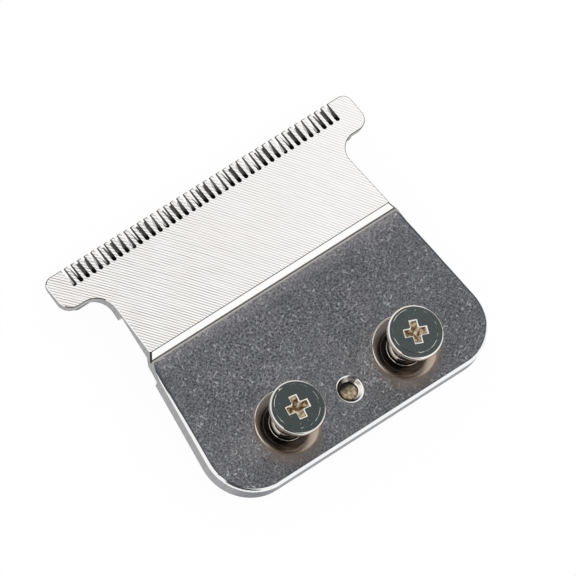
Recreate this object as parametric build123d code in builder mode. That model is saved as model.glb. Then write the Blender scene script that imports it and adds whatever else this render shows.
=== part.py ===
"""Hair clipper blade set: a T-shaped fixed blade with the moving blade, its spring and drive yoke underneath.

Millimetres. X runs along the tooth line, +Y points to the tooth tips and +Z is up, out of the skin side.
The origin lies under the middle of the fixed blade, on the surface that the blade set rests on.
"""
import os
from math import isclose, sqrt

from build123d import *

# Fixed blade, outline
blade_width = 39.7
blade_length = 31.0
plate_thickness = 2.0
wing_depth = 4.2
wing_front_radius = 1.0
wing_back_radius = 1.5
notch_radius = 2.2
wing_overhang = 4.6
neck_flare = 0.4
body_step = 0.41
body_flare = 2.14
rear_corner_radius = 5.2
edge_radius = 0.35

# Fixed blade, ground face with its ridge and the step down to the body
tip_thickness = 0.35
ridge_distance = 12.5
ridge_height = 0.45
step_run = 0.74
step_foot_run = 0.28
step_foot_rise = 0.05

# Fixed blade, hollow across the underside
front_land = 7.5
hollow_length = 7.7
hollow_wall = 0.4
hollow_back_depth = 0.8
hollow_corner_radius = 0.25

# Fixed blade, teeth
tooth_pitch = 0.86
tooth_gap = 0.46
gap_length = 2.2
gap_root_chamfer = 0.13
wing_plain = 2.5

# Screw seats and the mounting screws, which stay captive in the tapped seats
screw_spacing = 15.4
screw_inset = 5.0
seat_diameter = 7.0
seat_floor_diameter = 4.8
seat_depth = 0.85
seat_rim_chamfer = 0.15
spot_face_diameter = 6.4
spot_face_depth = 0.15
head_diameter = 5.85
head_thickness = 0.95
head_bevel = 0.42
head_lift = 3.6
neck_diameter = 2.6
thread_diameter = 3.9
thread_pitch_diameter = 3.5
thread_rise = 0.4
thread_projection = 3.3
thread_tip_chamfer = 0.45
thread_clearance = 0.05
tap_mouth_clearance = 0.15
recess_span = 2.45
recess_width = 0.76
recess_depth = 1.1
recess_taper = 12.0
recess_turn_left = -9.0
recess_turn_right = -21.0

# Centre hole and the spring screw, driven from below
spring_screw_inset = 4.4
spring_thread_diameter = 2.2
spring_rim_diameter = 2.85
spring_rim_angle = 90.0
spring_tip_depth = 0.65
spring_tip_chamfer = 0.25
spring_head_diameter = 4.2
spring_head_height = 1.3
spring_head_chamfer = 0.4
spring_slot_width = 0.7
spring_slot_depth = 0.6

# Moving blade and its stroke from end to end
stroke = 2.4
blade_clearance = 0.02
cutter_setback = 0.25
wing_overlap = 1.35
neck_overlap = 1.65
spring_room = 7.15
cutter_wing_depth = 3.9
cutter_wing_radius = 0.9
cutter_notch_radius = 1.6
cutter_corner_radius = 2.0
cutter_thickness = 1.2
cutter_tip_thickness = 0.45
cutter_bevel = 3.6
cutter_front_land = 5.2
cutter_back_land = 3.3
cutter_hollow_depth = 0.3
cutter_pitch = 1.1
cutter_gap_mouth = 0.8
cutter_gap_depth = 1.6
cutter_gap_root = 0.12
cutter_plain = 1.3

# Drive yoke, staked to the back of the moving blade
yoke_width = 8.4
yoke_length = 7.0
yoke_overhang = 1.8
yoke_corner_radius = 0.9
yoke_slot_width = 3.6
yoke_slot_depth = 4.8
yoke_edge_chamfer = 0.3
peg_diameter = 1.6
peg_spacing = 6.0
peg_inset = 1.6
peg_clearance = 0.05
peg_recess = 0.15

# Tension spring
spring_thickness = 0.4
spring_foot_width = 8.8
spring_foot_back = 2.6
stud_gap = 0.6
spring_shoulder = 2.2
yoke_side_gap = 0.5
spring_arm_width = 3.2
spring_arm_reach = 9.0
spring_bend_run = 2.4
spring_bend_radius = 0.6
spring_corner_radius = 0.8
spring_clearance = 0.03

# The neck stands in from the wings, widens backwards to the ridge, steps out to the body and widens again
neck_width_front = blade_width - 2 * wing_overhang
neck_width_back = neck_width_front + 2 * neck_flare
body_width_front = neck_width_back + 2 * body_step
body_width_back = body_width_front + 2 * body_flare

# The moving blade stays inside the fixed one over its stroke, and the spring's arms clear the yoke
cutter_width = blade_width - 2 * wing_overlap
cutter_neck_width = neck_width_front - 2 * neck_overlap
spring_arm_gap = yoke_width + stroke + 2 * yoke_side_gap

# Tooth gaps fill the blades up to their plain ends: an odd number above, an even number below
gap_count = 2 * int((blade_width / 2 - wing_plain) / tooth_pitch) + 1
cutter_gap_count = 2 * int((cutter_width / 2 - cutter_plain) / cutter_pitch + 0.5)

# The tapped seats have the screws' pitch diameter, and open below to clear the thread's crest
tapped_radius = thread_pitch_diameter / 2 + thread_clearance
tap_mouth_radius = thread_diameter / 2 + tap_mouth_clearance

# Levels, from the resting surface up
plate_bottom = thread_projection
plate_top = plate_bottom + plate_thickness
ridge_top = plate_top + ridge_height
seat_floor = plate_top - seat_depth
spot_face = plate_bottom + spot_face_depth
cutter_top = plate_bottom - blade_clearance
cutter_bottom = cutter_top - cutter_thickness
spring_arm_top = cutter_bottom - spring_clearance
cut_margin = 2.0

# Places along Y: the screws from the rear edge, the moving blade from the screws to the tooth tips
tip_y = blade_length / 2
rear_y = -blade_length / 2
ridge_y = tip_y - ridge_distance
step_y = ridge_y - step_run
hollow_front_y = tip_y - front_land
hollow_back_y = hollow_front_y - hollow_length
screw_y = rear_y + screw_inset
spring_screw_y = rear_y + spring_screw_inset
cutter_tip_y = tip_y - cutter_setback
cutter_back_y = screw_y + spring_room
yoke_back_y = cutter_back_y - yoke_overhang
yoke_front_y = yoke_back_y + yoke_length
peg_y = yoke_front_y - peg_inset

# The ground face climbs from the tooth tips to the ridge
tip_top = plate_bottom + tip_thickness
ground_slope = (ridge_top - tip_top) / ridge_distance
hollow_front_top = tip_top + ground_slope * front_land - hollow_wall
hollow_back_top = plate_bottom + hollow_back_depth

os.makedirs("parts", exist_ok=True)


# Fixed blade: stamped plate, ground in front, hollow-ground below, slotted for the teeth
with BuildPart() as fixed_blade:
    with BuildSketch(Plane.XY.offset(plate_bottom)):
        with BuildLine():
            FilletPolyline(
                (0, tip_y),
                (blade_width / 2, tip_y),
                (blade_width / 2, tip_y - wing_depth),
                (neck_width_front / 2, tip_y - wing_depth),
                (neck_width_back / 2, ridge_y),
                (body_width_front / 2, step_y),
                (body_width_back / 2, rear_y),
                (0, rear_y),
                radius=[wing_front_radius, wing_back_radius, notch_radius, 0, 0, rear_corner_radius],
            )
            mirror(about=Plane.YZ)
        make_face()
    extrude(amount=plate_thickness + ridge_height)

    # Everything above the ground face, the step with its foot and the body is ground away
    with BuildSketch(Plane.YZ):
        with BuildLine():
            Polyline(
                (tip_y + cut_margin, tip_top - ground_slope * cut_margin),
                (ridge_y, ridge_top),
                (step_y, plate_top + step_foot_rise),
                (step_y - step_foot_run, plate_top),
                (rear_y - cut_margin, plate_top),
                (rear_y - cut_margin, ridge_top + cut_margin),
                (tip_y + cut_margin, ridge_top + cut_margin),
                close=True,
            )
        make_face()
    extrude(amount=blade_width, both=True, mode=Mode.SUBTRACT)

    body_face = fixed_blade.faces().filter_by(Axis.Z).sort_by(Axis.Z)[-1]
    body_edges = body_face.outer_wire().edges().sort_by(Axis.Y)
    fillet(body_edges[:-1], radius=edge_radius)

    # Hollow across the underside, between the front land and the rear land
    with BuildSketch(Plane.YZ):
        with BuildLine():
            FilletPolyline(
                (hollow_front_y, plate_bottom - cut_margin),
                (hollow_front_y, hollow_front_top),
                (hollow_back_y, hollow_back_top),
                (hollow_back_y, plate_bottom - cut_margin),
                radius=[0, hollow_corner_radius, hollow_corner_radius, 0],
                close=True,
            )
        make_face()
    extrude(amount=blade_width, both=True, mode=Mode.SUBTRACT)

    # Tooth gaps: slots that narrow at their roots, open at the tips
    with BuildSketch(Plane.XY.offset(plate_bottom)) as gap_sketch:
        with Locations((0, tip_y)):
            with GridLocations(tooth_pitch, tooth_pitch, gap_count, 1):
                Rectangle(tooth_gap, 2 * gap_length)
        chamfer(gap_sketch.vertices(), length=gap_root_chamfer)
    extrude(amount=plate_thickness + ridge_height, mode=Mode.SUBTRACT)

    # Dished screw seats over their tapped holes, and the tapped centre hole
    with Locations((0, screw_y, plate_top)):
        with GridLocations(screw_spacing, screw_spacing, 2, 1):
            Cone(
                seat_floor_diameter / 2,
                seat_diameter / 2,
                seat_depth,
                align=(Align.CENTER, Align.CENTER, Align.MAX),
                mode=Mode.SUBTRACT,
            )
            Hole(tapped_radius)
    round_edges = fixed_blade.edges().filter_by(GeomType.CIRCLE)
    seat_rims = round_edges.filter_by(lambda edge: isclose(edge.radius, seat_diameter / 2))
    chamfer(seat_rims, length=seat_rim_chamfer)

    # Spot faces round the countersunk ends of the tapped holes, for the pillars that the blade is screwed to
    with BuildSketch(Plane.XY.offset(plate_bottom)):
        with Locations((0, screw_y)):
            with GridLocations(screw_spacing, screw_spacing, 2, 1):
                Circle(spot_face_diameter / 2)
    extrude(amount=spot_face_depth, mode=Mode.SUBTRACT)
    round_edges = fixed_blade.edges().filter_by(GeomType.CIRCLE)
    tapped_edges = round_edges.filter_by(lambda edge: isclose(edge.radius, tapped_radius))
    chamfer(tapped_edges.group_by(Axis.Z)[0], length=tap_mouth_radius - tapped_radius)
    with Locations((0, spring_screw_y, plate_top)):
        CounterSinkHole(
            spring_thread_diameter / 2 + thread_clearance,
            spring_rim_diameter / 2,
            counter_sink_angle=spring_rim_angle,
        )
fixed_blade.part.label = "fixed_blade"
export_step(fixed_blade.part, "parts/fixed_blade.step")


# Moving blade: flat cutter with V-shaped gaps, hollow on the face that slides on the fixed blade
with BuildSketch() as cutter_gap:
    with BuildLine():
        Polyline(
            (-cutter_gap_mouth / 2, 0),
            (-cutter_gap_root / 2, -cutter_gap_depth),
            (cutter_gap_root / 2, -cutter_gap_depth),
            (cutter_gap_mouth / 2, 0),
            close=True,
        )
    make_face()

with BuildPart() as moving_blade:
    with BuildSketch(Plane.XY.offset(cutter_bottom)):
        with BuildLine():
            FilletPolyline(
                (0, cutter_tip_y),
                (cutter_width / 2, cutter_tip_y),
                (cutter_width / 2, cutter_tip_y - cutter_wing_depth),
                (cutter_neck_width / 2, cutter_tip_y - cutter_wing_depth),
                (cutter_neck_width / 2, cutter_back_y),
                (0, cutter_back_y),
                radius=[cutter_wing_radius, cutter_wing_radius, cutter_notch_radius, cutter_corner_radius],
            )
            mirror(about=Plane.YZ)
        make_face()
    extrude(amount=cutter_thickness)

    # The teeth are bevelled from below, down to thin tips
    with BuildSketch(Plane.YZ):
        with BuildLine():
            Polyline(
                (cutter_tip_y, cutter_top - cutter_tip_thickness),
                (cutter_tip_y - cutter_bevel, cutter_bottom),
                (cutter_tip_y, cutter_bottom),
                close=True,
            )
        make_face()
    extrude(amount=cutter_width, both=True, mode=Mode.SUBTRACT)

    # Hollow between the toothed land and the rear sliding land
    with BuildSketch(Plane.YZ):
        with BuildLine():
            Polyline(
                (cutter_tip_y - cutter_front_land, cutter_top),
                (cutter_tip_y - cutter_front_land, cutter_top - cutter_hollow_depth),
                (cutter_back_y + cutter_back_land, cutter_top - cutter_hollow_depth),
                (cutter_back_y + cutter_back_land, cutter_top),
                close=True,
            )
        make_face()
    extrude(amount=cutter_width, both=True, mode=Mode.SUBTRACT)

    with BuildSketch(Plane.XY.offset(cutter_bottom)):
        with Locations((0, cutter_tip_y)):
            with GridLocations(cutter_pitch, cutter_pitch, cutter_gap_count, 1):
                add(cutter_gap.sketch)
    extrude(amount=cutter_thickness, mode=Mode.SUBTRACT)

    with Locations((0, peg_y, cutter_top)):
        with GridLocations(peg_spacing, peg_spacing, 2, 1):
            Hole(peg_diameter / 2 + peg_clearance)
moving_blade.part.label = "moving_blade"
export_step(moving_blade.part, "parts/moving_blade.step")


# Drive yoke: moulded follower with an open slot for the motor's eccentric pin, and two stake pegs
with BuildPart() as drive_yoke:
    with BuildSketch():
        with Locations((0, (yoke_front_y + yoke_back_y) / 2)):
            RectangleRounded(yoke_width, yoke_length, yoke_corner_radius)
        with Locations((0, yoke_back_y)):
            SlotOverall(2 * yoke_slot_depth, yoke_slot_width, rotation=90, mode=Mode.SUBTRACT)
    extrude(amount=cutter_bottom)
    lower_face = drive_yoke.faces().filter_by(Axis.Z).sort_by(Axis.Z)[0]
    chamfer(lower_face.outer_wire().edges(), length=yoke_edge_chamfer)
    with BuildSketch(Plane.XY.offset(cutter_bottom)):
        with Locations((0, peg_y)):
            with GridLocations(peg_spacing, peg_spacing, 2, 1):
                Circle(peg_diameter / 2)
    extrude(amount=cutter_thickness - cutter_hollow_depth - peg_recess)
drive_yoke.part.label = "drive_yoke"
export_step(drive_yoke.part, "parts/drive_yoke.step")


# Tension spring: flat spring steel, its foot screwed to the plate and its two arms on the moving blade's back
spring_foot_y = spring_screw_y - spring_foot_back
spring_bend_back_y = cutter_back_y - spring_bend_run
shoulder_y = screw_y + thread_diameter / 2 + stud_gap
spring_crotch_y = yoke_back_y - spring_clearance - spring_corner_radius
arm_inner_x = spring_arm_gap / 2
arm_outer_x = arm_inner_x + spring_arm_width
arm_tip_y = cutter_back_y + spring_arm_reach
with BuildPart() as tension_spring:
    with BuildSketch(Plane.YZ):
        with BuildLine():
            FilletPolyline(
                (spring_foot_y, plate_bottom),
                (spring_bend_back_y, plate_bottom),
                (cutter_back_y - spring_bend_radius, spring_arm_top),
                (arm_tip_y, spring_arm_top),
                radius=spring_bend_radius,
            )
            offset(amount=spring_thickness, side=Side.RIGHT)
        make_face()
    extrude(amount=arm_outer_x, both=True)
    with BuildSketch():
        with BuildLine():
            FilletPolyline(
                (0, spring_foot_y),
                (spring_foot_width / 2, spring_foot_y),
                (spring_foot_width / 2, shoulder_y),
                (arm_outer_x, shoulder_y + spring_shoulder),
                (arm_outer_x, arm_tip_y),
                (arm_inner_x, arm_tip_y),
                (arm_inner_x, spring_crotch_y),
                (0, spring_crotch_y),
                radius=spring_corner_radius,
            )
            mirror(about=Plane.YZ)
        make_face()
    extrude(amount=plate_top, mode=Mode.INTERSECT)
    with Locations((0, spring_screw_y, plate_bottom)):
        Hole(spring_thread_diameter / 2 + thread_clearance)
tension_spring.part.label = "tension_spring"
export_step(tension_spring.part, "parts/tension_spring.step")


# Spring screw: slotted pan head below the spring's foot, its tip just short of the plate's skin side
spring_head_top = plate_bottom - spring_thickness
spring_head_bottom = spring_head_top - spring_head_height
spring_tip = plate_top - spring_tip_depth
with BuildPart() as spring_screw:
    with BuildSketch(Plane((0, spring_screw_y, 0), x_dir=(1, 0, 0), z_dir=(0, -1, 0))):
        with BuildLine():
            Polyline(
                (0, spring_head_bottom),
                (spring_head_diameter / 2 - spring_head_chamfer, spring_head_bottom),
                (spring_head_diameter / 2, spring_head_bottom + spring_head_chamfer),
                (spring_head_diameter / 2, spring_head_top),
                (spring_thread_diameter / 2, spring_head_top),
                (spring_thread_diameter / 2, spring_tip - spring_tip_chamfer),
                (spring_thread_diameter / 2 - spring_tip_chamfer, spring_tip),
                (0, spring_tip),
                close=True,
            )
        make_face()
    revolve(axis=Axis((0, spring_screw_y, 0), (0, 0, 1)))
    with BuildSketch(Plane.XY.offset(spring_head_bottom)):
        with Locations((0, spring_screw_y)):
            Rectangle(spring_head_diameter, spring_slot_width)
    extrude(amount=spring_slot_depth, mode=Mode.SUBTRACT)
spring_screw.part.label = "spring_screw"
export_step(spring_screw.part, "parts/spring_screw.step")


def mounting_screw(label, x, recess_turn):
    """Captive screw at x: round-edged head with a cross recess, slim neck, thread through the tapped seat."""
    head_bottom = plate_top + head_lift
    head_top = head_bottom + head_thickness
    thread_top = seat_floor + thread_rise
    mid_bevel = head_bevel * (1 - sqrt(0.5))
    with BuildPart() as screw:
        with BuildSketch(Plane((x, screw_y, 0), x_dir=(1, 0, 0), z_dir=(0, -1, 0))):
            with BuildLine():
                # Two bevels round the head's edge; from the spot face up the thread has its pitch diameter
                Polyline(
                    (0, head_top),
                    (head_diameter / 2 - head_bevel, head_top),
                    (head_diameter / 2 - mid_bevel, head_top - mid_bevel),
                    (head_diameter / 2, head_top - head_bevel),
                    (head_diameter / 2, head_bottom),
                    (neck_diameter / 2, head_bottom),
                    (neck_diameter / 2, thread_top),
                    (thread_pitch_diameter / 2, thread_top),
                    (thread_pitch_diameter / 2, spot_face - thread_clearance),
                    (thread_diameter / 2, spot_face - thread_clearance),
                    (thread_diameter / 2, thread_tip_chamfer),
                    (thread_diameter / 2 - thread_tip_chamfer, 0),
                    (0, 0),
                    close=True,
                )
            make_face()
        revolve(axis=Axis((x, screw_y, 0), (0, 0, 1)))
        for turn in (recess_turn, recess_turn + 90):
            with BuildSketch(Plane.XY.offset(head_top)):
                with Locations((x, screw_y)):
                    Rectangle(recess_span, recess_width, rotation=turn)
            extrude(amount=-recess_depth, taper=recess_taper, mode=Mode.SUBTRACT)
    screw.part.label = label
    export_step(screw.part, f"parts/{label}.step")


mounting_screw("mounting_screw_left", -screw_spacing / 2, recess_turn_left)
mounting_screw("mounting_screw_right", screw_spacing / 2, recess_turn_right)
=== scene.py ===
"""Looks of a hair clipper blade set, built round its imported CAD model.

Metres, in the CAD frame: X along the tooth line, +Y to the tooth tips, +Z up, out of the skin side.
"""

from math import cos, pi, radians, sin, tau

import bmesh
import bpy
from mathutils import Matrix, Vector


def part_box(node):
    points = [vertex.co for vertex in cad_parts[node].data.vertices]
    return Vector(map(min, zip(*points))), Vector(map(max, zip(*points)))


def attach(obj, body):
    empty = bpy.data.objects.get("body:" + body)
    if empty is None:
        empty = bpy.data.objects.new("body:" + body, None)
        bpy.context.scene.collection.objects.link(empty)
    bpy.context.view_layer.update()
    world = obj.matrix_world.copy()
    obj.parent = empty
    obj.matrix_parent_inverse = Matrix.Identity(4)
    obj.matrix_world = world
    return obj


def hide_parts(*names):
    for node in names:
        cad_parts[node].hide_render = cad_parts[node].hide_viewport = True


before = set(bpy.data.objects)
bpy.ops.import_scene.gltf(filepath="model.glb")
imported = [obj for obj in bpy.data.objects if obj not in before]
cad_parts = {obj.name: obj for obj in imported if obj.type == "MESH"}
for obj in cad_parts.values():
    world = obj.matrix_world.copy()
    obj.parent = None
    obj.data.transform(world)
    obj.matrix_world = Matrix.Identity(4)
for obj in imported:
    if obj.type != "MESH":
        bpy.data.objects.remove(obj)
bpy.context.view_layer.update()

# Fixed blade: the comb plate, stamped from stainless strip, tumbled, then ground on its sloping front face.
# A narrow strip behind the ridge is ground too. The edges are rounded and polished above, and dull below.
# The two dished screw seats and the centre hole are turned into the body.
MM = 0.001
plate_low, plate_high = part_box("fixed_blade")
tip_y = plate_high.y
gap_back_y = tip_y - 2.25 * MM
gap_row_end = 17.8 * MM
ridge_y = tip_y - 12.5 * MM
step_y = ridge_y - 0.74 * MM
foot_y = step_y - 0.28 * MM
body_z = plate_low.z + 2.0 * MM
lip_drop = 0.1 * MM
seat_rim_radius = 3.7 * MM
hole_rim_radius = 1.5 * MM
seat_centres = [sum(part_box(f"mounting_screw_{side}"), Vector()) / 2 for side in ("left", "right")]
hole_centre = sum(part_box("spring_screw"), Vector()) / 2
GROUND, STRIP, FOOT, TUMBLED, EDGE, STAMPED, UNDERSIDE = range(7)
TURNED, SEAT, LIP, HOLE, FLANK, END_SHADE, CREASE = range(7, 14)

# A face's finish follows from how far its normal points up
level_up = 0.998
slope_up = 0.95
wall_up = 0.05
underside_up = -0.3
tip_slack = 0.01 * MM
merge_distance = 0.0005 * MM
flat_angle = radians(0.3)


def cad_copy(node):
    """A copy of a CAD node's mesh, merged, with the triangles of its flat areas joined."""
    mesh = bmesh.new()
    mesh.from_mesh(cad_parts[node].data)
    bmesh.ops.remove_doubles(mesh, verts=mesh.verts, dist=merge_distance)
    bmesh.ops.dissolve_limit(mesh, angle_limit=flat_angle, verts=mesh.verts, edges=mesh.edges)
    mesh.normal_update()
    return mesh


def near(point, centre, radius):
    """True where a point lies within this radius of an upright axis."""
    return (point - centre).xy.length < radius


def plate_finish(face):
    """Which finish of the plate a face has, as an index into the plate's materials."""
    middle = face.calc_center_median_weighted()
    up = face.normal.z
    flat = up > level_up
    if up < underside_up:
        return UNDERSIDE
    if near(middle, hole_centre, hole_rim_radius):
        return TUMBLED if flat else HOLE
    if any(near(middle, centre, seat_rim_radius) for centre in seat_centres):
        if middle.z < body_z - lip_drop:
            return SEAT if flat else TURNED
        return TUMBLED if flat else LIP
    if abs(up) < wall_up:
        in_gap = gap_back_y < middle.y < tip_y - tip_slack and abs(middle.x) < gap_row_end
        return FLANK if in_gap else STAMPED
    if middle.y > ridge_y:
        return GROUND
    if middle.y > step_y and up < slope_up:
        return STRIP
    if middle.y > foot_y and not flat and up > slope_up and abs(face.normal.x) < wall_up:
        return FOOT
    return TUMBLED if flat else EDGE


def edges_between(mesh, *pairs):
    """The edges whose two faces have one of these pairs of finishes."""
    return [
        edge
        for edge in mesh.edges
        if len(edge.link_faces) == 2 and {face.material_index for face in edge.link_faces} in pairs
    ]


def round_over(mesh, edges, width, finish=None, segments=2, clamp=True):
    """Rounds edges over to this width, and gives the new faces a finish if one is named."""
    made = bmesh.ops.bevel(
        mesh,
        geom=edges,
        offset=width,
        affect="EDGES",
        segments=segments,
        profile=0.5,
        material=-1,
        clamp_overlap=clamp,
    )
    if finish is not None:
        for face in made["faces"]:
            face.material_index = finish


plate = cad_copy("fixed_blade")
for face in plate.faces:
    face.material_index = plate_finish(face)

# The corners at the strip's two ends are painted near black as shade. The wheel leaves a hairline along each
# edge, painted dark as shade, and the edges that face left are polished instead, as a painted highlight.
end_shade_width = 0.2 * MM
ridge_hairline = 0.045 * MM
foot_hairline = 0.09 * MM
outline_hairline = 0.09 * MM
tooth_hairline = 0.02 * MM
left_facing = -0.6
# Painted shade: near-black faces in the corners at the strip's ends
round_over(plate, edges_between(plate, {STRIP, STAMPED}), end_shade_width, END_SHADE)
round_over(plate, edges_between(plate, {GROUND, STRIP}), ridge_hairline, CREASE)
round_over(plate, edges_between(plate, {STRIP, FOOT}), foot_hairline, CREASE)
round_over(plate, edges_between(plate, {GROUND, STAMPED}), outline_hairline, CREASE, segments=1, clamp=False)
plate.normal_update()
# Edges facing left get the polished finish instead: a painted highlight on that side
for face in plate.faces:
    if face.material_index == CREASE and face.normal.x < left_facing:
        face.material_index = EDGE
round_over(plate, edges_between(plate, {GROUND, FLANK}), tooth_hairline, CREASE)

# The tools leave a thin bright line round the hole, and a dark hairline, painted as shade, runs round the
# seats' floors
hole_line = 0.09 * MM
seat_line = 0.05 * MM
round_over(plate, edges_between(plate, {TUMBLED, HOLE}), hole_line, EDGE)
round_over(plate, edges_between(plate, {TURNED, SEAT}), seat_line, CREASE)

# The tapped centre hole shows one turn of its thread above the spring screw's tip
tap_rise = 0.135 * MM
tap_turns = 1.0
tap_radius = 1.16 * MM
tap_crest = 0.98 * MM
tap_half_height = 0.1 * MM
tap_low_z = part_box("spring_screw")[1].z + tap_half_height


def add_helix(mesh, centre, radius, crest, half_height, low_z, pitch, turns, finish=0, steps_per_turn=40):
    """Adds a right-hand screw thread: a V section from the radius to its crest, turned and lifted."""
    section = [(radius, -half_height), (crest, 0.0), (radius, half_height)]
    foot = Vector((centre.x, centre.y, low_z))
    corners = [mesh.verts.new(foot + Vector((out, 0, up))) for out, up in section]
    sides = [mesh.edges.new((corners[i - 1], corners[i])) for i in range(3)]
    steps = round(turns * steps_per_turn)
    faces_before = set(mesh.faces)
    bmesh.ops.spin(
        mesh,
        geom=corners + sides,
        cent=centre,
        axis=(0, 0, 1),
        angle=tau * turns,
        steps=steps,
        dvec=(0, 0, pitch * turns / steps),
    )
    skin = [face for face in mesh.faces if face not in faces_before]
    ends = [edge for edge in {edge for face in skin for edge in face.edges} if edge.is_boundary]
    bmesh.ops.edgeloop_fill(mesh, edges=ends)
    helix = [face for face in mesh.faces if face not in faces_before]
    for face in helix:
        face.material_index = finish
    bmesh.ops.recalc_face_normals(mesh, faces=helix)


add_helix(plate, hole_centre, tap_radius, tap_crest, tap_half_height, tap_low_z, tap_rise, tap_turns, HOLE)


def linear(colour):
    """A hex sRGB colour as linear red, green, blue and alpha."""
    channels = [int(colour[i:i + 2], 16) / 255 for i in (1, 3, 5)]
    return [c / 12.92 if c <= 0.04045 else ((c + 0.055) / 1.055) ** 2.4 for c in channels] + [1.0]


def add(tree, kind, inputs=None, **settings):
    """Adds a node with its settings. Inputs are values, or sockets to link from."""
    node = tree.nodes.new(kind)
    for name, value in settings.items():
        setattr(node, name, value)
    for key, value in (inputs or {}).items():
        if isinstance(value, bpy.types.NodeSocket):
            tree.links.new(value, node.inputs[key])
        else:
            node.inputs[key].default_value = value
    return node


# Sockets of a Mix node for colours: its A and B inputs, and its result
MIX_A, MIX_B, MIXED = 6, 7, 2


def new_material(name):
    """An empty material with its output: the material, its node tree and the surface socket to link to."""
    material = bpy.data.materials.new(name)
    material.use_nodes = True
    tree = material.node_tree
    tree.nodes.clear()
    return material, tree, add(tree, "ShaderNodeOutputMaterial").inputs["Surface"]


def finish_piece(mesh, name, materials, body, node, smooth_angle=40):
    """Makes the shown piece from a bmesh: it rides on a body and stands for a CAD node."""
    data = bpy.data.meshes.new(name)
    mesh.to_mesh(data)
    mesh.free()
    for material in materials:
        data.materials.append(material)
    data.polygons.foreach_set("use_smooth", [True] * len(data.polygons))
    data.set_sharp_from_angle(angle=radians(smooth_angle))
    piece = bpy.data.objects.new(name, data)
    bpy.context.scene.collection.objects.link(piece)
    weights = piece.modifiers.new("flat faces stay flat", "WEIGHTED_NORMAL")
    weights.keep_sharp = True
    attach(piece, body)
    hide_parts(node)
    return piece


# Ground stainless: the wheel leaves shallow parallel arcs, near white with hair-thin grey-brown grooves.
# The grooves fade towards the right wing, where the wheel lifted off.
line_pitch = 0.296 * MM
line_depth = 0.0008 * MM
wheel_centre = (-166 * MM, -112 * MM, 0)
streak_turn = radians(126)
streak_size = (3 * MM, 0.3 * MM, 1)
tint_size = 6 * MM
fade_from_x = -16 * MM
fade_to_x = 20 * MM
ground_steel, tree, surface = new_material("ground_stainless_face")
coords = add(tree, "ShaderNodeTexCoord").outputs["Object"]
level = add(tree, "ShaderNodeVectorMath", {0: coords, 1: (1, 1, 0)}, operation="MULTIPLY")
reach = add(tree, "ShaderNodeVectorMath", {0: level.outputs["Vector"], 1: wheel_centre}, operation="DISTANCE")
phase = add(tree, "ShaderNodeMath", {0: reach.outputs["Value"], 1: tau / line_pitch}, operation="MULTIPLY")
wave = add(tree, "ShaderNodeMath", {0: phase.outputs["Value"]}, operation="SINE")
along = add(
    tree,
    "ShaderNodeMapping",
    {"Vector": coords, "Rotation": (0, 0, streak_turn), "Scale": streak_size},
    vector_type="TEXTURE",
)
streak = add(tree, "ShaderNodeTexNoise", {"Vector": along.outputs["Vector"], "Scale": 1.0, "Detail": 2.0})
cloud = add(tree, "ShaderNodeTexNoise", {"Vector": coords, "Scale": 1 / tint_size, "Detail": 1.0})
place = add(tree, "ShaderNodeSeparateXYZ", {"Vector": coords})
fade = add(
    tree,
    "ShaderNodeMapRange",
    {
        "Value": place.outputs["X"],
        "From Min": fade_from_x,
        "From Max": fade_to_x,
        "To Min": 0.8,
        "To Max": 0.3,
    },
)
uneven = add(
    tree,
    "ShaderNodeMath",
    {0: streak.outputs["Fac"], 1: 1.4, 2: 0.3},
    operation="MULTIPLY_ADD",
)
depth = add(
    tree,
    "ShaderNodeMath",
    {0: fade.outputs["Result"], 1: uneven.outputs["Value"]},
    operation="MULTIPLY",
)
groove = add(
    tree,
    "ShaderNodeMapRange",
    {"Value": wave.outputs["Value"], "From Min": 0.15, "From Max": -1.0, "To Min": 0.0, "To Max": 1.0},
)
shade = add(
    tree,
    "ShaderNodeMath",
    {0: groove.outputs["Result"], 1: depth.outputs["Value"]},
    operation="MULTIPLY",
)
warm = add(
    tree,
    "ShaderNodeMix",
    {"Factor": cloud.outputs["Fac"], MIX_A: linear("#ffffff"), MIX_B: linear("#fdfaf7")},
    data_type="RGBA",
)
colour = add(
    tree,
    "ShaderNodeMix",
    {"Factor": shade.outputs["Value"], MIX_A: warm.outputs[MIXED], MIX_B: linear("#8f8883")},
    data_type="RGBA",
)
relief = add(
    tree,
    "ShaderNodeBump",
    {"Height": wave.outputs["Value"], "Strength": 1.0, "Distance": line_depth},
)
shader = add(
    tree,
    "ShaderNodeBsdfPrincipled",
    {
        "Base Color": colour.outputs[MIXED],
        "Metallic": 1.0,
        "Roughness": 0.12,
        "Normal": relief.outputs["Normal"],
    },
)
tree.links.new(shader.outputs["BSDF"], surface)

# Fine-ground strip: one pass of a fine wheel along X, too fine to show as lines
strip_streak = 4 * MM
strip_grit = 0.06 * MM
strip_steel, tree, surface = new_material("fine_ground_stainless_strip")
coords = add(tree, "ShaderNodeTexCoord").outputs["Object"]
drawn = add(
    tree,
    "ShaderNodeMapping",
    {"Vector": coords, "Scale": (1 / strip_streak, 1 / strip_grit, 1 / strip_grit)},
)
grain = add(tree, "ShaderNodeTexNoise", {"Vector": drawn.outputs["Vector"], "Scale": 1.0, "Detail": 2.0})
gloss = add(tree, "ShaderNodeMapRange", {"Value": grain.outputs["Fac"], "To Min": 0.1, "To Max": 0.25})
shader = add(
    tree,
    "ShaderNodeBsdfPrincipled",
    {"Base Color": linear("#fdfdfd"), "Metallic": 1.0, "Roughness": gloss.outputs["Result"]},
)
tree.links.new(shader.outputs["BSDF"], surface)

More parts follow.
